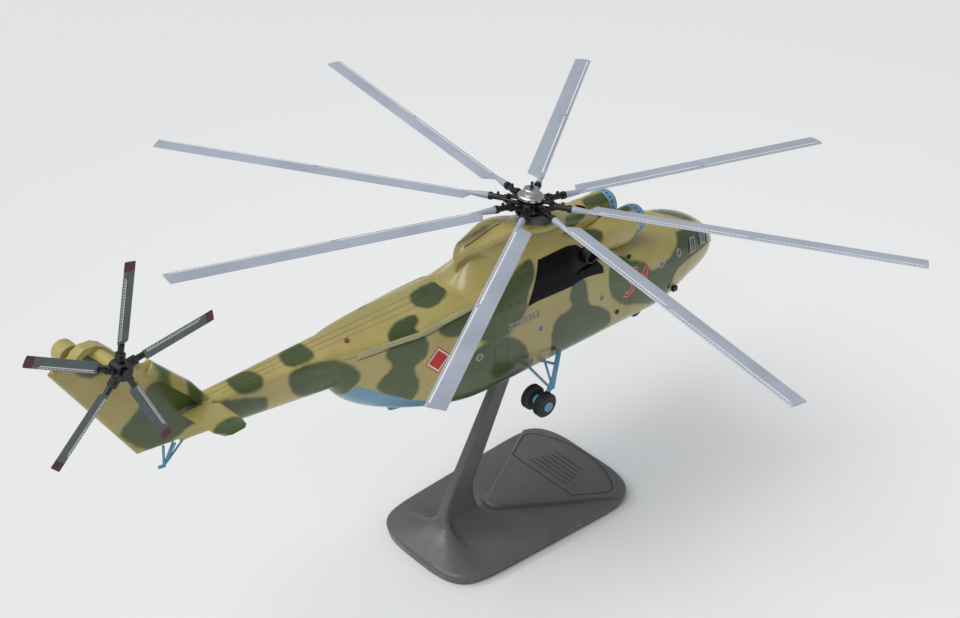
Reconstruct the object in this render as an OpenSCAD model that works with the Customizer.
// Desk model of a heavy transport helicopter on its moulded stand, 1:72.
// X points to the nose, Y to port, Z up. The origin is the middle of the base's underside.
// The airframe is drawn from its own zero, the centre of the main rotor hub.

/* [Rotor] */
// Radius of the main rotor
rotor_r = 222.2; // [180:0.2:240]
// Chord of a main blade
blade_chord = 10.4; // [7:0.1:14]
// Thickness of a main blade
blade_t = 1.2; // [0.8:0.1:1.8]
// Distance from the hub centre to the blade's broad root
blade_root = 37.3; // [34:0.1:48]
// Forward tilt of the rotor mast, in degrees
mast_tilt = 4.5; // [0:0.1:5]
// Radius of the mast
mast_r = 2.2; // [1.5:0.1:3]
// Radius of the hub's centre
hub_r = 7.5; // [6:0.5:9]
// Length of a hub arm, from the hub centre
arm_len = 24; // [20:0.5:28]

/* [Tail rotor] */
// Radius of the tail rotor
tail_rotor_r = 53.5; // [40:0.5:56]
// Chord of a tail blade
tail_chord = 5.8; // [4:0.1:8]
// Thickness of a tail blade
tail_blade_t = 1.0; // [0.7:0.1:1.4]
// Radius of the tail rotor's shaft
tail_shaft_r = 1.4; // [1:0.1:1.8]

/* [Fuselage] */
// Distance from the rotor centre to the nose tip
nose_x = 156; // [140:1:175]
// Width of the cabin
cabin_w = 56; // [52:0.5:60]
// Level of the belly, from the rotor centre
belly_z = -102; // [-108:0.5:-98]
// Level of the deck that carries the engines
deck_z = -41; // [-42:0.1:-40]
// Level of the tail boom's top
boom_top_z = -30.6; // [-32:0.1:-29]
// Distance from the rotor centre back to the end of the tail boom
boom_len = 222; // [212:1:232]
// Width of the tail boom at its end
boom_end_w = 14; // [12:0.5:17]
// Depth of the tail boom at its end
boom_end_h = 20.5; // [18:0.5:23]
// Wall of the fuselage mouldings
wall = 1.6; // [1.2:0.1:2]

/* [Engines] */
// Radius of an engine nacelle
nacelle_r = 9; // [8.4:0.1:9.6]
// Sideways distance of an engine from the centre
engine_y = 11.9; // [11.4:0.1:12.6]
// Level of the engines' centre line
engine_z = -32.4; // [-33:0.1:-31.8]
// Distance from the rotor centre to the back of the intake rings
intake_x = 71; // [69:0.5:74]

/* [Wheels] */
// Radius of a main wheel
wheel_r = 7.6; // [6.5:0.1:8.5]
// Width of a main wheel
wheel_w = 6.0; // [4.5:0.1:7]
// Radius of a nose wheel
nose_wheel_r = 5.4; // [4.5:0.1:6.5]
// Width of a nose wheel
nose_wheel_w = 4.0; // [3:0.1:5]
// Radius of the wheel axles
axle_r = 1.2; // [0.9:0.1:1.5]

/* [Stand] */
// Length of the base, at its top edge
base_len = 151; // [125:0.5:165]
// Width of the base at its front
base_w = 96; // [75:1:105]
// Width of the base at its back
base_back_w = 82; // [65:1:95]
// Height of the base's edge
base_t = 7; // [5:0.5:12]
// Height of the rotor hub above the table
hub_height = 219.5; // [205:0.5:235]

/* [Hidden] */
// Radial clearance of a shaft in its bush, and of a wheel on its axle
running_gap = 0.05;
// Gap between pieces that are fixed beside each other
seat_gap = 0.05;
// Smoothness of round parts
$fn = 48;
// Distance of the rotor hub ahead of the middle of the base
hub_x = 9.5;

sides = ["left", "right"];
side_sign = [1, -1];
NODES = concat(
    ["stand", "stand_socket", "fuselage_left", "fuselage_right"],
    [for (piece = ["engine_cowl", "intake_ring", "intake_core", "exhaust"], s = sides) str(piece, "_", s)],
    ["rotor_pylon", "mast_bush", "rotor_mast", "rotor_hub", "hub_cap", "cap_pin"],
    [for (k = [1 : 8]) str("main_blade_", k)],
    ["tail_fin", "gearbox_hood", "gearbox_bulge", "tail_shaft_housing", "tail_bush", "tail_shaft", "tail_hub"],
    [for (k = [1 : 5]) str("tail_blade_", k)],
    ["stabiliser_left", "stabiliser_right", "tail_bumper", "main_gear_left", "main_gear_right"],
    ["main_axle_left", "main_axle_right", "nose_gear_leg", "nose_axle"],
    [for (s = sides, w = ["inner", "outer"]) str("main_wheel_", s, "_", w)],
    ["nose_wheel_left", "nose_wheel_right"],
    ["cockpit_panes", "side_windows", "beacon", "belly_antenna", "side_sensors", "side_grille"]);
node = "all";

function lerp(a, b, t) = a + (b - a) * t;
function clamp(v, low, high) = max(low, min(high, v));
function ease(t) = let (u = clamp(t, 0, 1)) u * u * (3 - 2 * u);
// A value that eases from b to a as x climbs from xb to xa
function blend(x, xb, b, xa, a) = lerp(b, a, ease((x - xb) / (xa - xb)));
// Quarter of a superellipse: 1 at the start, 0 at the end
function quarter(s, p) = pow(max(0, 1 - pow(clamp(s, 0, 1), p)), 1 / p);

// Side faces of a loft whose rings have m points each
function side_faces(m, count) =
    [for (i = [0 : count - 2], j = [0 : m - 1])
        let (a = i * m + j, b = i * m + (j + 1) % m)
        each [[a, b, b + m], [a, b + m, a + m]]];

// Solid through closed rings
module loft(rings) {
    m = len(rings[0]);
    last = (len(rings) - 1) * m;
    polyhedron(
        points = [for (ring = rings) each ring],
        faces = concat(
            [[for (j = [m - 1 : -1 : 0]) j]],
            [[for (j = [0 : m - 1]) last + j]],
            side_faces(m, len(rings))));
}

// Shell through rings that run out along its outside and back along its inside.
// A closed shell ends in a solid tip, an open one in its wall.
module shell(rings, closed) {
    m = len(rings[0]);
    h = m / 2;
    last = (len(rings) - 1) * m;
    tip = [
        [for (k = [0 : h - 1]) last + k],
        [for (k = [h : m - 1]) last + k],
        [last + h - 1, last + h, last + m - 1, last]
    ];
    polyhedron(
        points = [for (ring = rings) each ring],
        faces = concat(
            [for (k = [0 : h - 2]) each [[k, m - 2 - k, k + 1], [k, m - 1 - k, m - 2 - k]]],
            closed ? tip
                : [for (k = [0 : h - 2])
                    each [
                        [last + k, last + k + 1, last + m - 2 - k],
                        [last + k, last + m - 2 - k, last + m - 1 - k]]],
            side_faces(m, len(rings))));
}

// Fuselage skin

cabin_half = cabin_w / 2;
boom_end_x = -boom_len;
// Where the cabin's taper to the boom starts and ends
ramp_x = -58;
pod_end_x = -146;
// Where the nose starts to round in, at the side, the roof and the chin
nose_side_x = 92;
cockpit_x = 104;
chin_x = 98;
// Levels of the nose tip, the cockpit roof and the widest line of the cabin
nose_tip_z = -79;
cockpit_top_z = -50;
cabin_mid_z = -70;
// Ends of the engine deck, and the roof level just ahead of it
deck_aft_x = -62;
deck_front_x = 62;
roof_front_z = engine_z - nacelle_r - 1.8;
// Crown of the body over the deck, which the cowls follow
crown_z = -19.5;
// Tail boom where the cabin's taper meets it
boom_front_w = 24;
boom_front_bottom_z = -59.5;
// Half length of a step in the skin
step = 0.03;
// Segments of the skin from the roof to the belly
skin_steps = 20;

// Share of the way from start to the nose tip, inside the inset
function nose_s(x, start, inset) = (x - start) / (nose_x - inset - start);

// Level of the section's top, before the deck is cut
function top_z(x, inset) =
    x > cockpit_x
        ? lerp(nose_tip_z, cockpit_top_z - inset, quarter(nose_s(x, cockpit_x, inset), 1.9))
    : x > deck_front_x
        ? blend(x, deck_front_x, roof_front_z - inset, cockpit_x, cockpit_top_z - inset)
    : x > 10
        ? blend(x, 10, crown_z - inset, deck_front_x, roof_front_z - inset)
    : blend(x, deck_aft_x, boom_top_z - inset, -15, crown_z - inset);

// Level of the belly
function bottom_z(x, inset) =
    x > chin_x
        ? lerp(nose_tip_z, belly_z + inset, quarter(nose_s(x, chin_x, inset), 1.75))
    : x > ramp_x
        ? belly_z + inset
    : x > pod_end_x
        ? lerp(boom_front_bottom_z, belly_z, quarter((ramp_x - x) / (ramp_x - pod_end_x), 1.55)) + inset
    : lerp(boom_top_z - boom_end_h, boom_front_bottom_z, (x - boom_end_x) / (pod_end_x - boom_end_x)) + inset;

// Half width at the widest line
function side_y(x, inset) =
    x > nose_side_x
        ? (cabin_half - inset) * quarter(nose_s(x, nose_side_x, inset), 2.2)
    : x > -50
        ? cabin_half - inset
    : x > pod_end_x
        ? lerp(boom_front_w / 2, cabin_half, quarter((-50 - x) / (-50 - pod_end_x), 1.25)) - inset
    : lerp(boom_end_w, boom_front_w, (x - boom_end_x) / (pod_end_x - boom_end_x)) / 2 - inset;

// Level of the widest line
function mid_z(x) =
    x > nose_side_x ? blend(x, nose_side_x, cabin_mid_z, nose_x, nose_tip_z + 3)
    : x > pod_end_x ? blend(x, pod_end_x, -41, -40, cabin_mid_z)
    : lerp(-38.5, -41, (x - boom_end_x) / (pod_end_x - boom_end_x));

// Squareness of the section above and below its widest line
function top_power(x) = x > 80 ? blend(x, 80, 3, 125, 2.1) : blend(x, pod_end_x, 4.2, 20, 3);
function bottom_power(x) = blend(x, pod_end_x, 2.1, ramp_x, 2.9) - blend(x, 86, 0, 126, 1.15);

// Point of the body's skin on the port side, from the top (0) to the bottom (1)
function section_point(x, u, inset) =
    let (a = 90 - 180 * u,
         up = a >= 0,
         p = 2 / (up ? top_power(x) : bottom_power(x)),
         reach = up ? top_z(x, inset) - mid_z(x) : mid_z(x) - bottom_z(x, inset))
    [x, max(0, side_y(x, inset)) * pow(abs(cos(a)), p), mid_z(x) + reach * pow(abs(sin(a)), p) * (up ? 1 : -1)];

// The same point where the deck has cut the top away
function skin_point(x, u, inset) =
    let (p = section_point(x, u, inset),
         on_deck = x > deck_aft_x - inset && x < deck_front_x - inset)
    [p.x, p.y, on_deck ? min(p.z, deck_z - inset) : p.z];

// Half width of the outer skin at a level
function skin_y(x, z) =
    let (up = z > mid_z(x),
         n = up ? top_power(x) : bottom_power(x),
         reach = up ? top_z(x, 0) - mid_z(x) : mid_z(x) - bottom_z(x, 0))
    side_y(x, 0) * pow(max(0, 1 - pow(min(1, abs(z - mid_z(x)) / reach), n)), 1 / n);

// Level of the outer skin's upper side at a distance from the middle
function skin_z(x, y) =
    let (n = top_power(x))
    mid_z(x) + (top_z(x, 0) - mid_z(x)) * pow(max(0, 1 - pow(min(1, abs(y) / side_y(x, 0)), n)), 1 / n);

function steps_at(x) = [x - step, x + step];
skin_xs = concat(
    [for (k = [0 : 3]) lerp(boom_end_x, pod_end_x, k / 4)],
    [for (k = [0 : 8]) lerp(pod_end_x + 6, deck_aft_x - 2 * wall, k / 8)],
    steps_at(deck_aft_x - wall),
    steps_at(deck_aft_x),
    [for (k = [1 : 5]) lerp(deck_aft_x, 10, k / 5)],
    [for (k = [1 : 9]) lerp(10, deck_front_x, k / 10)],
    steps_at(deck_front_x - wall),
    steps_at(deck_front_x),
    [for (k = [1 : 15]) lerp(deck_front_x, nose_x - step, sin(90 * k / 15))]);

// The inside keeps a wall's length behind the outside in the nose
function inner_x(x) = x - wall * clamp((x - nose_side_x) / (nose_x - nose_side_x), 0, 1);

skin_rings = [for (x = skin_xs)
    concat(
        [for (k = [0 : skin_steps]) skin_point(x, k / skin_steps, 0)],
        [for (k = [skin_steps : -1 : 0]) skin_point(inner_x(x), k / skin_steps, wall)])];

module airframe() {
    translate([hub_x, 0, hub_height]) children();
}

module both_sides() {
    children();
    mirror([0, 1, 0]) children();
}

// A patch of a side of the body between two distances off the skin. The outline goes round a centre.
module skin_patch(centre, outline, off, thick) {
    m = len(outline);
    shares = [1, 0.5];
    rim = function(out) [for (s = shares, p = outline)
        let (x = lerp(centre[0], p[0], s), z = lerp(centre[1], p[1], s))
        [x, skin_y(x, z) + out, z]];
    hub = function(out) [[centre[0], skin_y(centre[0], centre[1]) + out, centre[1]]];
    side = 2 * m + 1;
    polyhedron(
        points = concat(rim(off), hub(off), rim(off + thick), hub(off + thick)),
        faces = [for (j = [0 : m - 1]) let (i = (j + 1) % m) each [
            [j, m + j, m + i], [j, m + i, i], [m + j, 2 * m, m + i],
            [side + j, side + m + i, side + m + j], [side + j, side + i, side + m + i],
            [side + m + j, side + m + i, side + 2 * m],
            [j, i, side + i], [j, side + i, side + j]]]);
}

function oval(x, z, rx, rz, count) =
    [for (k = [0 : count - 1]) [x + rx * cos(360 * k / count), z + rz * sin(360 * k / count)]];

// A straight round rod between two points
module rod(a, b, r, sides = 12) {
    d = b - a;
    translate(a)
        rotate([0, acos(d.z / norm(d)), atan2(d.y, d.x)])
            cylinder(h = norm(d), r = r, $fn = sides);
}

// Fuselage halves, parted down the middle

belly_socket_x = -12;
socket_len = 7;
socket_wide = 4;
module socket_cut(gap) {
    translate([belly_socket_x - socket_len / 2 - gap, -socket_wide / 2 - gap, belly_z - 1])
        cube([socket_len + 2 * gap, socket_wide + 2 * gap, peg_len + 2]);
}
peg_len = 8;

module fuselage_half() {
    difference() {
        shell(skin_rings, true);
        socket_cut(seat_gap);
    }
}

module fuselage_left() {
    color("darkkhaki") airframe() fuselage_half();
}

module fuselage_right() {
    color("darkkhaki") airframe() mirror([0, 1, 0]) fuselage_half();
}

// Socket block inside the belly, around the stand's peg
module stand_socket() {
    margin = 3;
    color("gray") airframe() difference() {
        translate([belly_socket_x - socket_len / 2 - margin, -socket_wide / 2 - margin, belly_z + wall + 0.3])
            cube([socket_len + 2 * margin, socket_wide + 2 * margin, peg_len - wall + 1]);
        socket_cut(seat_gap);
    }
}

// Engine cowls

cowl_wall = 1.4;
// Half width of the gearbox fairing, and its two ends
pylon_half = 11;
pylon_front_x = 54;
pylon_aft_x = -56;
pylon_foot_aft_x = -47;
// Where the cowls stop following the cabin and become round nacelles
cowl_round_x = 46;
cowl_steps = 14;

// Half width of the fairing's foot
function pylon_y(x) =
    x > pylon_front_x ? 0.6
    : x > 42 ? lerp(engine_y - nacelle_r + 0.4, pylon_half, quarter((x - 42) / (pylon_front_x - 42), 2))
    : x > pylon_foot_aft_x ? pylon_half
    : 0;

// Innermost line of a cowl at its top
function cowl_y(x) = pylon_y(x) + seat_gap + 0.1;

// Point of a cowl's outer or inner face, from its inner top (0) to its foot (1)
function cowl_low_angle(r) = asin(clamp((engine_z - deck_z) / r, 0, 0.985));
function nacelle_start(x, r) =
    x > deck_front_x + 1 ? 264
    : x > pylon_front_x + 1 ? 180 + cowl_low_angle(r)
    : acos(clamp((cowl_y(x) - engine_y) / r, -0.97, 1));
function nacelle_end(x, r) = x > intake_x - 2 ? 84 : cowl_low_angle(r);

function on_cabin(x, t, inset) =
    let (n = top_power(x),
         reach = top_z(x, inset) - mid_z(x),
         wide = side_y(x, inset),
         a0 = acos(pow(clamp(cowl_y(x) / wide, 0, 1), n / 2)),
         a1 = asin(pow(clamp((deck_z + seat_gap - mid_z(x)) / reach, 0, 1), n / 2)),
         a = lerp(a0, a1, t))
    [wide * pow(cos(a), 2 / n), mid_z(x) + reach * pow(max(0, sin(a)), 2 / n)];

function on_nacelle(x, t, inset) =
    let (r = nacelle_r - inset,
         a = lerp(nacelle_start(x, r), -nacelle_end(x, r), t))
    [engine_y + r * cos(a), engine_z + r * sin(a)];

// The foot flares out to the cabin's shoulder
function foot_point(x) =
    let (y = blend(x, 10, skin_y(10, deck_z), 62, 16.5))
    [y, min(deck_z, skin_z(x, y)) + seat_gap + 0.55 * ease((x - 30) / 12)];

function cowl_point(x, t, inset) =
    let (e = ease((x - 10) / (cowl_round_x - 10)),
         a = x < cowl_round_x ? on_cabin(min(x, cowl_round_x), t, inset) : [0, 0],
         b = on_nacelle(x, t, inset),
         p = e < 1 ? lerp(a, b, e) : b,
         foot = foot_point(x) - [inset, 0],
         last = lerp(on_cabin(min(x, cowl_round_x), 1, inset), on_nacelle(x, 1, inset), e),
         pull = pow(t, 3) * ease((x - 10) / 20) * ease((intake_x - x) / 6),
         q = p + (foot - last) * pull)
    [x, q[0], q[1]];

cowl_xs = concat(
    [for (k = [0 : 4]) lerp(deck_aft_x + seat_gap, pylon_foot_aft_x - seat_gap, k / 4)],
    [pylon_foot_aft_x + step],
    [for (k = [1 : 12]) lerp(pylon_foot_aft_x, 42, k / 12)],
    [45, 48, 51, pylon_front_x - 0.6, pylon_front_x, pylon_front_x + 1.5, 58, deck_front_x, deck_front_x + 2],
    [66, intake_x - 2.5, intake_x]);

module cowl() {
    shell([for (x = cowl_xs)
        concat(
            [for (k = [0 : cowl_steps]) cowl_point(x, k / cowl_steps, 0)],
            [for (k = [cowl_steps : -1 : 0]) cowl_point(x, k / cowl_steps, cowl_wall)])], false);
}


// Intake rings with a centre body held by the engine's front frame

ring_len = 7;
ring_wall = 1.7;
module intake_ring() {
    lip = ring_wall / 2;
    translate([intake_x + seat_gap, engine_y, engine_z])
        rotate([0, 90, 0])
            rotate_extrude() difference() {
                union() {
                    polygon([
                        [nacelle_r - ring_wall, 0],
                        [nacelle_r, 0],
                        [nacelle_r, ring_len * 0.35],
                        [nacelle_r - 0.2, ring_len * 0.6],
                        [nacelle_r - ring_wall + lip, ring_len],
                        [nacelle_r - ring_wall, ring_len]]);
                    translate([nacelle_r - ring_wall, ring_len - lip]) circle(r = lip, $fn = 24);
                }
                translate([-1, -1]) square([1, 2 * ring_len]);
            }
}

module intake_core() {
    core_r = 4.6;
    translate([intake_x + seat_gap, engine_y, engine_z])
        rotate([0, 90, 0]) {
            translate([0, 0, -3]) cylinder(h = 3, r = nacelle_r - cowl_wall - 0.6);
            rotate_extrude() polygon(concat(
                [[0, 0]],
                [for (a = [0 : 15 : 90]) [core_r * cos(a), 0.5 + 4.5 * sin(a)]]));
            for (k = [0 : 5]) rotate([0, 0, 60 * k])
                translate([core_r - 1, -0.3, 0])
                    cube([nacelle_r - ring_wall - core_r + 1 - seat_gap, 0.6, 1.6]);
        }
}

module intake_ring_left() { color("skyblue") airframe() intake_ring(); }
module intake_ring_right() { color("skyblue") airframe() mirror([0, 1, 0]) intake_ring(); }
module intake_core_left() { color("darkslategray") airframe() intake_core(); }
module intake_core_right() { color("darkslategray") airframe() mirror([0, 1, 0]) intake_core(); }

// Exhaust pipes, on the cowls' sides

exhaust_r = 5.2;
exhaust_x = 27.5;
exhaust_z = -34;
exhaust_y = 21.5;
exhaust_len = 4;
module at_exhaust() {
    translate([exhaust_x, exhaust_y, exhaust_z]) rotate([-90, 0, 0]) children();
}
module exhaust() {
    at_exhaust() difference() {
        cylinder(h = exhaust_len, r = exhaust_r);
        translate([0, 0, 1.2]) cylinder(h = exhaust_len, r = exhaust_r - 0.8);
    }
}
module engine_cowl() {
    color("darkkhaki") difference() {
        cowl();
        at_exhaust() translate([0, 0, -4]) cylinder(h = 12, r = exhaust_r + seat_gap);
    }
}
module engine_cowl_left() { airframe() engine_cowl(); }
module engine_cowl_right() { airframe() mirror([0, 1, 0]) engine_cowl(); }
module exhaust_left() { color("black") airframe() exhaust(); }
module exhaust_right() { color("black") airframe() mirror([0, 1, 0]) exhaust(); }

// Gearbox fairing under the rotor

bush_r = 4;
bush_top = -13.5;
bush_len = 22;

// Level of the fairing's ridge and of its crisp shoulder
function ridge_z(x) =
    x > 35 ? blend(x, 35, -16, pylon_front_x, -27)
    : x > 8 ? blend(x, 8, -12, 35, -16)
    : x > -27 ? blend(x, -27, -4.5, 8, -12)
    : x > -50 ? blend(x, -50, -7.5, -27, -4.5)
    : lerp(-7.5, -12, pow((-50 - x) / (-50 - pylon_aft_x), 2));
function shoulder_z(x) = ridge_z(x) - blend(x, pylon_aft_x, 3, 0, 1.8);
function shoulder_y(x) =
    x > -28 ? pylon_y(x) - 0.3
    : lerp(4.5, pylon_half - 0.3, pow((x - pylon_aft_x) / (-28 - pylon_aft_x), 0.7));
fairing_deck_x = pylon_foot_aft_x + 0.3;
function fairing_foot_y(x) =
    x > fairing_deck_x ? pylon_y(x) - 0.3
    : lerp(4.8, pylon_half - 1.5, (x - pylon_aft_x) / (pylon_foot_aft_x - pylon_aft_x));
function fairing_foot_z(x) =
    x > fairing_deck_x ? deck_z + seat_gap
    : x < -50 ? lerp(-26.5, -15.5, pow((-50 - x) / (-50 - pylon_aft_x), 1.5))
    : -26.5;

function fairing_side(x) = [
    [fairing_foot_y(x), fairing_foot_z(x)],
    [lerp(fairing_foot_y(x), shoulder_y(x), 0.5) + 0.1, lerp(fairing_foot_z(x), shoulder_z(x), 0.6)],
    [shoulder_y(x), shoulder_z(x)],
    [shoulder_y(x) * 0.93, lerp(shoulder_z(x), ridge_z(x), 0.35)],
    [shoulder_y(x) * 0.7, lerp(shoulder_z(x), ridge_z(x), 0.72)],
    [shoulder_y(x) * 0.38, lerp(shoulder_z(x), ridge_z(x), 0.93)]];

function fairing_ring(x) =
    let (side = fairing_side(x), n = len(side))
    concat(
        [for (p = side) [x, p[0], p[1]]],
        [[x, 0, ridge_z(x)]],
        [for (k = [n - 1 : -1 : 0]) [x, -side[k][0], side[k][1]]]);

fairing_xs = concat(
    [pylon_aft_x, -54.5, -52, -50, -48.5, fairing_deck_x - step, fairing_deck_x + step],
    [for (k = [1 : 12]) lerp(fairing_deck_x, 42, k / 12)],
    [45, 48, 51, pylon_front_x - 0.6]);

module on_mast() {
    rotate([0, mast_tilt, 0]) children();
}

module rotor_pylon() {
    color("darkkhaki") airframe() difference() {
        loft([for (k = [len(fairing_xs) - 1 : -1 : 0]) fairing_ring(fairing_xs[k])]);
        on_mast() translate([0, 0, bush_top - bush_len]) rotate([0, 0, 15])
            cylinder(h = bush_len + 30, r = (bush_r + seat_gap) / cos(15), $fn = 12);
    }
}

module mast_bush() {
    color("goldenrod") airframe() on_mast() translate([0, 0, bush_top - bush_len]) difference() {
        cylinder(h = bush_len, r = bush_r);
        translate([0, 0, -1]) cylinder(h = bush_len + 2, r = mast_r + running_gap);
    }
}

// Main rotor

module rotor_mast() {
    color("dimgray") airframe() on_mast() translate([0, 0, bush_top - bush_len])
        cylinder(h = bush_len - bush_top - hub_low, r = mast_r);
}

blade_count = 8;
blade_step = 360 / blade_count;
blade_phase = 35.4;
// Levels of the hub's underside and top, from the blades' plane
hub_low = 6.5;
hub_high = 3;
// How far each blade stands above the hub's plane, and how far it leads, in degrees
blade_rise = [0.85, 0.19, -0.44, 0.97, -0.12, -1.46, 0.42, -0.42];
blade_lead = [-0.68, -0.61, 0.1, -0.11, 1.45, -0.26, -0.17, 0.27];

// One arm of the hub: yoke plates, hinge pin, bearing housing and damper
module hub_arm() {
    yoke_end = arm_len * 0.58;
    for (z = [-2.2, 1.4]) translate([hub_r - 1.5, -1.9, z]) cube([yoke_end - hub_r + 1.5, 3.8, 0.8]);
    translate([yoke_end - 1.4, 0, -2.9]) cylinder(h = 5.8, r = 1.2, $fn = 24);
    translate([yoke_end - 2.8, -1.5, -1.5]) cube([4, 3, 3]);
    translate([yoke_end, 0, 0]) rotate([0, 90, 0]) {
        cylinder(h = arm_len - yoke_end, r = 1.7, $fn = 24);
        cylinder(h = 1.2, r = 2.3, $fn = 24);
        translate([0, 0, arm_len - yoke_end - 2.2]) cylinder(h = 2.2, r = 2.3, $fn = 24);
    }
    translate([arm_len - 6, -0.6, 1.2]) cube([1.4, 1.2, 2]);
    translate([hub_r - 0.5, 2.6, 0.2]) rotate([0, 90, -4])
        cylinder(h = yoke_end - hub_r + 3.4, r = 0.9, $fn = 24);
    translate([yoke_end + 2.2, 0, 0]) rotate([-90, 0, 0]) cylinder(h = 4.2, r = 0.7, $fn = 24);
}

module rotor_hub() {
    color("black") airframe() on_mast() {
        difference() {
            union() {
                translate([0, 0, -hub_low]) cylinder(h = hub_low + hub_high, r = hub_r - 1);
                translate([0, 0, -3]) cylinder(h = 3 + hub_high - 1, r = hub_r);
                translate([0, 0, -hub_low]) cylinder(h = 1.2, r = hub_r + 0.6);
            }
            translate([0, 0, -hub_low - 1]) cylinder(h = 2, r = mast_r + 0.3);
        }
        for (k = [0 : blade_count - 1]) rotate([0, 0, blade_phase + blade_step * k]) hub_arm();
    }
}

cap_r = 7.6;
module hub_cap() {
    color("silver") airframe() on_mast() translate([0, 0, hub_high + seat_gap]) rotate_extrude() polygon([
        [0, 0], [cap_r, 0], [cap_r, 1.6], [cap_r - 0.6, 2.2], [4.9, 2.6], [4.6, 3.2],
        [4.6, 5.4], [4.2, 5.9], [0, 6.1]]);
}

module cap_pin() {
    color("black") airframe() on_mast() translate([0, 0, hub_high + 6.1 + 2 * seat_gap]) {
        cylinder(h = 3.4, r = 0.65, $fn = 24);
        cylinder(h = 1, r = 1.1, $fn = 24);
        translate([0, 0, 2.6]) cylinder(h = 1, r = 0.85, $fn = 24);
    }
}

// Outline of a blade's section from its nose, back over the top and forward underneath
function aerofoil(chord, thick) =
    let (shares = [0, 0.02, 0.08, 0.2, 0.4, 0.7, 1],
         bulge = function(s) 2.6 * sqrt(s) * (1 - s) * thick,
         edge = 0.12)
    concat(
        [for (s = shares) [s * chord, 0.5 * bulge(s) + edge]],
        [for (k = [len(shares) - 1 : -1 : 0]) [shares[k] * chord, -0.15 * bulge(shares[k]) - edge]]);

// A blade along X with its leading edge towards -Y and a slanted root
module blade(root, tip, chord, thick, slant, lead) {
    inner = root - slant;
    intersection() {
        translate([inner, -lead, 0]) rotate([90, 0, 90])
            linear_extrude(height = tip - inner) polygon(aerofoil(chord, thick));
        translate([0, -lead, -thick * 2]) linear_extrude(height = thick * 4) polygon([
            [inner, -0.1], [tip, -0.1], [tip, chord + 0.1], [root, chord + 0.1],
            [root - 0.2, chord - 0.6], [inner + slant * 0.2, lead + slant * 0.6], [inner, lead + slant * 0.4]]);
    }
}

module main_blade(k) {
    shank_r = 1.9;
    taper_len = 4;
    neck = blade_root - taper_len;
    pivot = arm_len + seat_gap;
    color("lightsteelblue") airframe() on_mast() rotate([0, 0, blade_phase + blade_step * k])
        translate([pivot, 0, 0]) rotate([0, -blade_rise[k], -blade_lead[k]]) translate([-pivot, 0, 0]) {
            translate([pivot, 0, 0]) rotate([0, 90, 0]) cylinder(h = neck - pivot, r = shank_r, $fn = 32);
            translate([neck, 0, 0]) rotate([0, 90, 0])
                cylinder(h = taper_len, r1 = shank_r, r2 = 0.5, $fn = 32);
            blade(blade_root, rotor_r, blade_chord, blade_t, taper_len, 0.18 * blade_chord);
        }
}

// Tail fin, with a rounded spine as its leading edge

// The pieces of the tail are drawn from the end of the boom, at the level of the rotor hub
module tail_end() {
    airframe() translate([boom_end_x, 0, 0]) children();
}

fin_foot_x = -0.3;
// Side outline of the fin, from the foot of its leading edge
fin_side = [
    [fin_foot_x, -31.5], [-4, -24], [-8, -18], [-29, 3.8], [-36, 5], [-43, 11.6], [-47, 16.4],
    [-52, 22], [-57, 25.7], [-65, 27], [-72, 25], [-80, 21.7], [-82.6, 19.4],
    [-41.7, -46.5], [fin_foot_x, -51]];
fin_t = 3;
// Half width of the spine
spine_half = 3.2;
// Steps of its rounded edge: share of the width, and how far back from the edge
spine_steps = [[1, 1.6], [0.82, 0.7], [0.55, 0]];
spine_depth = 6;
module tail_fin() {
    spine = [fin_side[1], fin_side[2], fin_side[3]];
    back = [-0.69, -0.72];
    color("darkkhaki") tail_end() {
        translate([0, fin_t / 2, 0]) rotate([90, 0, 0]) linear_extrude(height = fin_t) polygon(fin_side);
        for (s = spine_steps)
            translate([0, spine_half * s[0], 0]) rotate([90, 0, 0])
                linear_extrude(height = 2 * spine_half * s[0]) polygon(concat(
                    [for (p = spine) p + back * s[1]],
                    [for (k = [2 : -1 : 0]) spine[k] + back * (spine_depth + s[1])]));
    }
}

// Tail rotor gearbox, on the fin's top

// Centre of the tail rotor, and the outward turn of its shaft in degrees
tail_hub = [-58.5, -24.2, 24.8];
tail_yaw = 3.7;
module on_tail_shaft() {
    translate(tail_hub) rotate([0, 0, tail_yaw]) rotate([-90, 0, 0]) children();
}

housing_r = 3;
housing_near = 5.5;
housing_far = 22;
tail_bush_r = 2.2;
tail_bush_len = 9;
// Where the shaft starts, inside the hub
shaft_start = 0.5;
module tail_shaft_housing() {
    color("darkkhaki") tail_end() on_tail_shaft() difference() {
        translate([0, 0, housing_near]) cylinder(h = housing_far - housing_near, r = housing_r);
        translate([0, 0, housing_near - 1]) cylinder(h = housing_far, r = tail_bush_r + seat_gap);
    }
}

module tail_bush() {
    color("goldenrod") tail_end() on_tail_shaft() difference() {
        translate([0, 0, housing_near + 0.3]) cylinder(h = tail_bush_len, r = tail_bush_r);
        cylinder(h = 2 * housing_far, r = tail_shaft_r + running_gap);
    }
}

module tail_shaft() {
    color("dimgray") tail_end() on_tail_shaft() translate([0, 0, shaft_start])
        cylinder(h = housing_near + tail_bush_len - shaft_start, r = tail_shaft_r);
}

tail_blade_count = 5;
tail_blade_root = 13;
tail_phase = 77.9;
// How far a tail blade's front edge is ahead of the line through its hub
tail_lead = 0.53 * tail_chord;
arm_shift = 0.8;
module on_tail_blade(k) {
    on_tail_shaft() rotate([0, 0, -tail_phase - 360 / tail_blade_count * k]) children();
}

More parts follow.
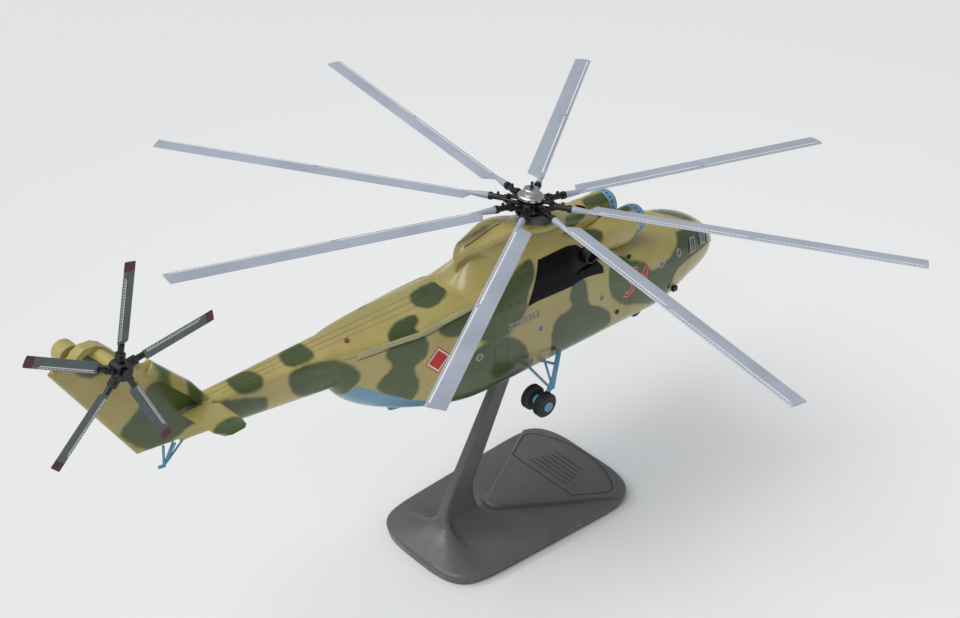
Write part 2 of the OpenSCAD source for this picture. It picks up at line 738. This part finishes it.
module tail_hub() {
    color("black") tail_end() {
        on_tail_shaft() difference() {
            translate([0, 0, -3.5]) {
                cylinder(h = 7, r = 4.6);
                translate([0, 0, -1.5]) cylinder(h = 1.5, r = 2.6, $fn = 6);
            }
            translate([0, 0, shaft_start - seat_gap]) cylinder(h = 5, r = tail_shaft_r + seat_gap);
        }
        for (k = [0 : tail_blade_count - 1]) on_tail_blade(k) {
            translate([3.5, -1.6 - arm_shift, -1.8]) cube([5.5, 3.2, 3.6]);
            translate([8, -arm_shift, 0]) rotate([0, 90, 0])
                cylinder(h = tail_blade_root - 8 - seat_gap, r = 1.5, $fn = 24);
            translate([6.6, -arm_shift, -2.3]) cylinder(h = 4.6, r = 1, $fn = 24);
        }
    }
}

module tail_blade(k) {
    color("slategray") tail_end() on_tail_blade(k)
        blade(tail_blade_root + 1.5, tail_rotor_r, tail_chord, tail_blade_t, 1.5, tail_lead);
}

// Arched hood over the shaft, open to starboard
module gearbox_hood() {
    hood = [[-74, 24], [-70.5, 28.2], [-66.6, 30.4], [-60.4, 30], [-56.4, 27.6], [-50.3, 21],
        [-52, 20.2], [-56.7, 25], [-62, 27.6], [-67, 26.8], [-71, 23]];
    color("darkkhaki") tail_end() difference() {
        translate([0, -fin_t / 2 - seat_gap, 0]) rotate([90, 0, 0])
            linear_extrude(height = 6) polygon(hood);
        on_tail_shaft() cylinder(h = 2 * housing_far, r = housing_r + seat_gap);
    }
}

// Domed end of the gearbox, on the fin's other side
bulge_r = 6;
bulge_wall = 7;
bulge_dome = 4;
module gearbox_bulge() {
    dome = [for (a = [15 : 15 : 90]) [bulge_r * cos(a), bulge_wall + bulge_dome * sin(a)]];
    color("darkkhaki") tail_end() translate([-69, fin_t / 2 + seat_gap, 22.5]) rotate([-90, 0, 0])
        rotate_extrude() polygon(concat([[0, 0], [bulge_r, 0]], dome));
}

// Stabilisers

stab_half_span = 36;
stab_root_y = 3;
// The stabilisers are glued on as one leaning pair, low to port
stab_lean = 5;
module stabiliser(side) {
    plan = [[-0.6, stab_root_y], [-0.6, boom_end_w / 2 + 0.6], [2.8, boom_end_w / 2 + 0.6], [2, 29], [1, 33.5],
        [-1.5, stab_half_span], [-9, stab_half_span + 0.7], [-13, 35], [-15.3, 29], [-17.3, stab_root_y]];
    color("darkkhaki") translate([0, 0, -33.2]) rotate([-stab_lean, 0, 0])
        linear_extrude(height = 1.6) scale([1, side]) polygon(plan);
}
module stabiliser_left() { tail_end() stabiliser(1); }
module stabiliser_right() { tail_end() stabiliser(-1); }

module tail_bumper() {
    foot = [-27.4, 0, -61];
    color("skyblue") tail_end() {
        rod([-26.8, 0, -48.95], foot, 0.7);
        rod([-20.4, 1, -49.6], foot, 0.6);
        rod([-20.4, -1, -49.6], foot, 0.6);
        rod([-15, 0, -50.2], foot, 0.6);
        rod(foot, [-30.6, 0, -60.6], 0.9);
        translate(foot) sphere(r = 1, $fn = 12);
    }
}

// Landing gear

axle_x = -27.7;
axle_z = belly_z;
wheel_y = [37.2, 47];
nose_axle_x = 93;
nose_axle_z = belly_z - nose_wheel_r - 0.6;
nose_wheel_y = 5;

module wheel(r, w, bore) {
    hub_rim = r * 0.42;
    rotate([90, 0, 0]) rotate_extrude() polygon([
        [bore, -w / 2 + 0.4], [hub_rim, -w / 2 + 0.2], [hub_rim + 0.4, -w / 2],
        [r - 1.6, -w / 2], [r - 0.5, -w / 2 + 0.6], [r, -w / 2 + 1.6],
        [r, w / 2 - 1.6], [r - 0.5, w / 2 - 0.6], [r - 1.6, w / 2],
        [hub_rim + 0.4, w / 2], [hub_rim, w / 2 - 0.2], [bore, w / 2 - 0.4]]);
}

module main_wheel(side, which) {
    color("black") airframe() translate([axle_x, side * wheel_y[which], axle_z])
        wheel(wheel_r, wheel_w, axle_r + running_gap);
}

module main_axle(side) {
    cap = 0.8;
    color("skyblue") airframe() translate([axle_x, 0, axle_z])
      mirror([0, side < 0 ? 1 : 0, 0]) rotate([-90, 0, 0]) {
        translate([0, 0, wheel_y[0] - wheel_w / 2 - cap - running_gap]) cylinder(h = cap, r = 2.2);
        translate([0, 0, wheel_y[0] - wheel_w / 2 - cap])
            cylinder(h = wheel_y[1] - wheel_y[0] + wheel_w + 2 * cap, r = axle_r);
        translate([0, 0, wheel_y[1] + wheel_w / 2 + running_gap]) cylinder(h = cap, r = 3);
        translate([0, 0, wheel_y[0] + wheel_w / 2 + 0.15])
            cylinder(h = wheel_y[1] - wheel_y[0] - wheel_w - 0.3, r = 1.9);
    }
}

module main_gear() {
    knee = [-17, 42.1, -97];
    foot = [axle_x, 42.1, axle_z];
    difference() {
        union() {
            rod([2, skin_y(2, -88) + 1.6, -88], knee, 1.5);
            rod([-12.6, skin_y(-12.6, -89) + 0.9, -89], [-5, 32, -92], 0.8);
            rod([-20, skin_y(-20, -91) + 0.9, -91], [-19, 41, -96.5], 0.8);
            rod([-8.5, skin_y(-8.5, -90) + 0.8, -90], knee, 0.7);
            rod([-4, 33, -92], [-20, 42, -97], 0.9);
            rod(knee, foot + [2.6, 0, 0.6], 1.3);
            translate(knee) sphere(r = 1.7, $fn = 12);
            translate(foot - [0, 1.5, 0]) rotate([-90, 0, 0]) cylinder(h = 3, r = 3.2);
        }
        translate(foot - [0, 5, 0]) rotate([-90, 0, 0]) cylinder(h = 10, r = 1.9 + seat_gap);
    }
}
module main_gear_left() { color("skyblue") airframe() main_gear(); }
module main_gear_right() { color("skyblue") airframe() mirror([0, 1, 0]) main_gear(); }

module nose_gear_leg() {
    color("skyblue") airframe() difference() {
        union() {
            rod([nose_axle_x, 0, nose_axle_z], [nose_axle_x + 0.5, 0, belly_z - 2], 1.9, 24);
            translate([nose_axle_x, -1.6, nose_axle_z]) rotate([-90, 0, 0]) cylinder(h = 3.2, r = 2.4);
        }
        translate([nose_axle_x, -5, nose_axle_z]) rotate([-90, 0, 0]) cylinder(h = 10, r = axle_r + seat_gap);
    }
}

module nose_axle() {
    half = nose_wheel_y + nose_wheel_w / 2;
    color("skyblue") airframe() translate([nose_axle_x, 0, nose_axle_z]) rotate([-90, 0, 0]) {
        translate([0, 0, -half - 0.6]) cylinder(h = 2 * half + 1.2, r = axle_r);
        for (s = [-1, 1]) translate([0, 0, s * (half + running_gap + 0.3) - 0.3]) cylinder(h = 0.6, r = 2.2);
    }
}

module nose_wheel(side) {
    color("black") airframe() translate([nose_axle_x, side * nose_wheel_y, nose_axle_z])
        wheel(nose_wheel_r, nose_wheel_w, axle_r + running_gap);
}

// Small pieces on the skin

window_r = 2.3;
window_xs = [-61, -14.7, 35.1, 87.4, 104.3];
window_zs = [-65, -65, -65, -62.5, -61.5];
module side_windows() {
    color("slategray") airframe() both_sides()
        for (k = [0 : len(window_xs) - 1])
            skin_patch([window_xs[k], window_zs[k]], oval(window_xs[k], window_zs[k], window_r, window_r, 16),
                seat_gap, 0.25);
}

// Outline with more points along each side
function finer(outline, n) = [for (k = [0 : len(outline) - 1], i = [0 : n - 1])
    lerp(outline[k], outline[(k + 1) % len(outline)], i / n)];

module cockpit_panes() {
    panes = [
        [[120.4, -66.6], [123.9, -60.2], [118.5, -59.5], [114.6, -65.7]],
        [[133.8, -67.2], [139, -62.2], [132.5, -59.8], [128.2, -66.1]],
        [[147, -74.2], [149.6, -70], [143, -64], [137.6, -68.6]]];
    color("slategray") airframe() both_sides() for (p = panes)
        skin_patch((p[0] + p[1] + p[2] + p[3]) / 4, finer(p, 4), 0.25, 0.3);
}

module beacon() {
    color("red") airframe() translate([-138.5, -7.4, skin_z(-138.5, 7.4) + 0.45]) {
        cylinder(h = 0.8, r = 1.3, $fn = 24);
        translate([0, 0, 0.8]) sphere(r = 1.2, $fn = 24);
    }
}

module belly_antenna() {
    color("skyblue") airframe() translate([-97, 0.8, bottom_z(-97, 0) - seat_gap]) rotate([90, 0, 0])
        linear_extrude(height = 1.6) polygon([[-9, 1.6], [-7, -2.2], [4, -4.4], [7, -3.6], [9, -3.2]]);
}

module side_sensors() {
    color("black") airframe() mirror([0, 1, 0]) {
        translate([99.4, skin_y(99.4, -83.6) + seat_gap, -86.6]) cube([3.6, 2.4, 3]);
        translate([60.5, skin_y(60.5, -49.5) + seat_gap, -49.5]) cube([1.8, 1.6, 1.8]);
        translate([50, skin_y(50, -79.5) + seat_gap, -81]) rotate([-90, 0, 0])
            cylinder(h = 0.6, r = 1.5, $fn = 24);
    }
}

module side_grille() {
    color("slategray") airframe() mirror([0, 1, 0])
        for (k = [0 : 7], z = [-55.2, -52.8])
            skin_patch([-38.5 + 3 * k, z],
                [for (c = [[1.2, -0.8], [1.2, 0.8], [-1.2, 0.8], [-1.2, -0.8]])
                    [-38.5 + 3 * k + c[0], z + c[1]]],
                seat_gap, 0.3);
}

// Stand, one moulding: base with a raised pad, and a leaning post

base_draft = 1.4;
base_run = 8.5;
base_bow = 3.4;
post_power = 9;
post_half_w = 3.1;
stand_steps = 40;
// The post's back and front faces, from the hub, at a height above the table
function post_back(h) = h > 40 ? -57 + 0.524 * (h - 40.5) : -64 + 7 * pow(max(0, (h - 14)) / 26.5, 1.8);
function post_front(h) = h > 40 ? -40 + 0.424 * (h - 40.5) : -40 + 1.5 * pow((40.5 - h) / 40, 2);

// Rounded oblong at a height: straight sides by the first power, bowed ends by the second
function corner_ring(cx, half, back_w, front_w, run, bow, h) = [for (k = [0 : stand_steps - 1])
    let (a = -360 * (k + 0.5) / stand_steps,
         c = sign(cos(a)) * pow(abs(cos(a)), 2 / run),
         s = sign(sin(a)) * pow(abs(sin(a)), 2 / bow))
    [cx + half * c, s * lerp(back_w, front_w, (c + 1) / 2) / 2, h]];

function base_ring(inset, h) =
    corner_ring(0, base_len / 2 - inset, base_back_w - 2 * inset, base_w - 2 * inset,
        base_run, base_bow, h);

function post_ring(h) =
    let (back = post_back(h) + hub_x, front = post_front(h) + hub_x)
    corner_ring((back + front) / 2, (front - back) / 2, 2 * post_half_w, 2 * post_half_w,
        post_power, post_power, h);

// Share of the back slope in the skirt's rise, from its place along the base
function back_share(x) = let (u = min(1, max(0, (-2 * x / base_len - 0.5) / 0.36))) u * u * (3 - 2 * u);
function mixed_ring(t, side_rise, back_rise) =
    let (edge = base_ring(0.4, base_t))
    [for (k = [0 : stand_steps - 1])
        let (h = base_t + lerp(side_rise, back_rise, back_share(edge[k][0])))
        lerp([edge[k][0], edge[k][1], h], post_ring(h)[k], t)];

module stand() {
    shoulder = hub_height + belly_z - seat_gap;
    // Share of the way from the base's edge to the post, and the rise at the side and at the back
    skirt = [[0.03, 0.3, 0.4], [0.12, 0.5, 1.3], [0.3, 0.8, 3.2], [0.5, 1.3, 5.4], [0.66, 2, 7.3],
        [0.78, 3.1, 9.2], [0.87, 5, 11.2], [0.93, 7.8, 13.4], [0.97, 13, 17], [1, 25, 25]];
    color("dimgray") {
        loft(concat(
            [base_ring(base_draft, 0), base_ring(0, base_t - 1.4), base_ring(0.4, base_t - 0.3)],
            [for (s = skirt) mixed_ring(s[0], s[1], s[2])],
            [for (h = [40, 60, 80, 100, shoulder]) post_ring(h)]));
        stand_pad();
        translate([hub_x + belly_socket_x - socket_len / 2, -socket_wide / 2, shoulder - 1])
            cube([socket_len, socket_wide, peg_len]);
    }
}

// Raised fan-shaped pad that slopes down to the base's front, with an engraved frame and ruled lines
pad_slope = 0.07;
pad_back_x = -26;
pad_front_x = base_len / 2 - hub_x - 0.6;
function pad_level(x) = 13.3 - pad_slope * x;
// Half width of the base's outline at a distance ahead of its middle
function base_half_y(x) =
    lerp(base_back_w, base_w, (2 * x / base_len + 1) / 2) / 2
        * pow(max(0, 1 - pow(abs(2 * x / base_len), base_run)), 1 / base_bow);
function pad_half(x) =
    min(x < -17 ? 8 * quarter((-17 - x) / 9.05, 2) : 8 + 0.57 * (x + 17), base_half_y(x + hub_x) - 0.6);
pad_shares = [for (k = [0 : 5]) 0.1 * pow(k / 5, 2), for (k = [1 : 7]) lerp(0.1, 0.76, k / 7),
    for (k = [1 : 9]) 0.76 + 0.24 * sin(10 * k)];
function pad_ring(inset, drop, level) =
    let (xs = [for (s = pad_shares) lerp(pad_back_x + inset, pad_front_x - inset, s)],
         ys = [for (s = pad_shares) max(0.4, pad_half(lerp(pad_back_x, pad_front_x, s)) - inset)],
         zs = [for (x = xs) level > 0 ? level : pad_level(x) - drop],
         n = len(xs))
    concat([for (k = [0 : n - 1]) [xs[k], ys[k], zs[k]]],
        [for (k = [n - 1 : -1 : 0]) [xs[k], -ys[k], zs[k]]]);
module stand_pad() {
    frame = [[22.3, -25], [22.3, 25], [24, 28], [41, 37.6], [46, 38.2], [50.5, 35.5], [56, 26.5], [60.5, 13],
        [61.7, 0], [60.5, -13], [56, -26.5], [50.5, -35.5], [46, -38.2], [41, -37.6], [24, -28]];
    translate([hub_x, 0, 0]) difference() {
        loft([pad_ring(0, 0, 3), pad_ring(0, 2.2, 0), pad_ring(0.7, 0.8, 0), pad_ring(1.8, 0.15, 0),
            pad_ring(2.6, 0, 0)]);
        translate([0, 0, pad_level(0)]) rotate([0, atan(pad_slope), 0]) {
            translate([0, 0, -0.4]) linear_extrude(height = 1) difference() {
                polygon(frame);
                translate([40, 0]) scale(0.965) translate([-40, 0]) polygon(frame);
            }
            for (k = [0 : 5]) translate([27.5 + 3.8 * k, -17 + k, -0.3]) cube([0.9, 34 - 2 * k, 1]);
        }
    }
}


function wanted(name) = node == "all" || node == name;

if (wanted("stand")) stand();
if (wanted("stand_socket")) stand_socket();
if (wanted("fuselage_left")) fuselage_left();
if (wanted("fuselage_right")) fuselage_right();
if (wanted("engine_cowl_left")) engine_cowl_left();
if (wanted("engine_cowl_right")) engine_cowl_right();
if (wanted("intake_ring_left")) intake_ring_left();
if (wanted("intake_ring_right")) intake_ring_right();
if (wanted("intake_core_left")) intake_core_left();
if (wanted("intake_core_right")) intake_core_right();
if (wanted("exhaust_left")) exhaust_left();
if (wanted("exhaust_right")) exhaust_right();
if (wanted("rotor_pylon")) rotor_pylon();
if (wanted("mast_bush")) mast_bush();
if (wanted("rotor_mast")) rotor_mast();
if (wanted("rotor_hub")) rotor_hub();
if (wanted("hub_cap")) hub_cap();
if (wanted("cap_pin")) cap_pin();
for (k = [1 : blade_count]) if (wanted(str("main_blade_", k))) main_blade(k - 1);
if (wanted("tail_fin")) tail_fin();
if (wanted("gearbox_hood")) gearbox_hood();
if (wanted("gearbox_bulge")) gearbox_bulge();
if (wanted("tail_shaft_housing")) tail_shaft_housing();
if (wanted("tail_bush")) tail_bush();
if (wanted("tail_shaft")) tail_shaft();
if (wanted("tail_hub")) tail_hub();
for (k = [1 : tail_blade_count]) if (wanted(str("tail_blade_", k))) tail_blade(k - 1);
if (wanted("stabiliser_left")) stabiliser_left();
if (wanted("stabiliser_right")) stabiliser_right();
if (wanted("tail_bumper")) tail_bumper();
if (wanted("main_gear_left")) main_gear_left();
if (wanted("main_gear_right")) main_gear_right();
if (wanted("main_axle_left")) main_axle(1);
if (wanted("main_axle_right")) main_axle(-1);
if (wanted("nose_gear_leg")) nose_gear_leg();
if (wanted("nose_axle")) nose_axle();
for (s = [0, 1]) {
    if (wanted(str("main_wheel_", sides[s], "_inner"))) main_wheel(side_sign[s], 0);
    if (wanted(str("main_wheel_", sides[s], "_outer"))) main_wheel(side_sign[s], 1);
    if (wanted(str("nose_wheel_", sides[s]))) nose_wheel(side_sign[s]);
}
if (wanted("cockpit_panes")) cockpit_panes();
if (wanted("side_windows")) side_windows();
if (wanted("beacon")) beacon();
if (wanted("belly_antenna")) belly_antenna();
if (wanted("side_sensors")) side_sensors();
if (wanted("side_grille")) side_grille();
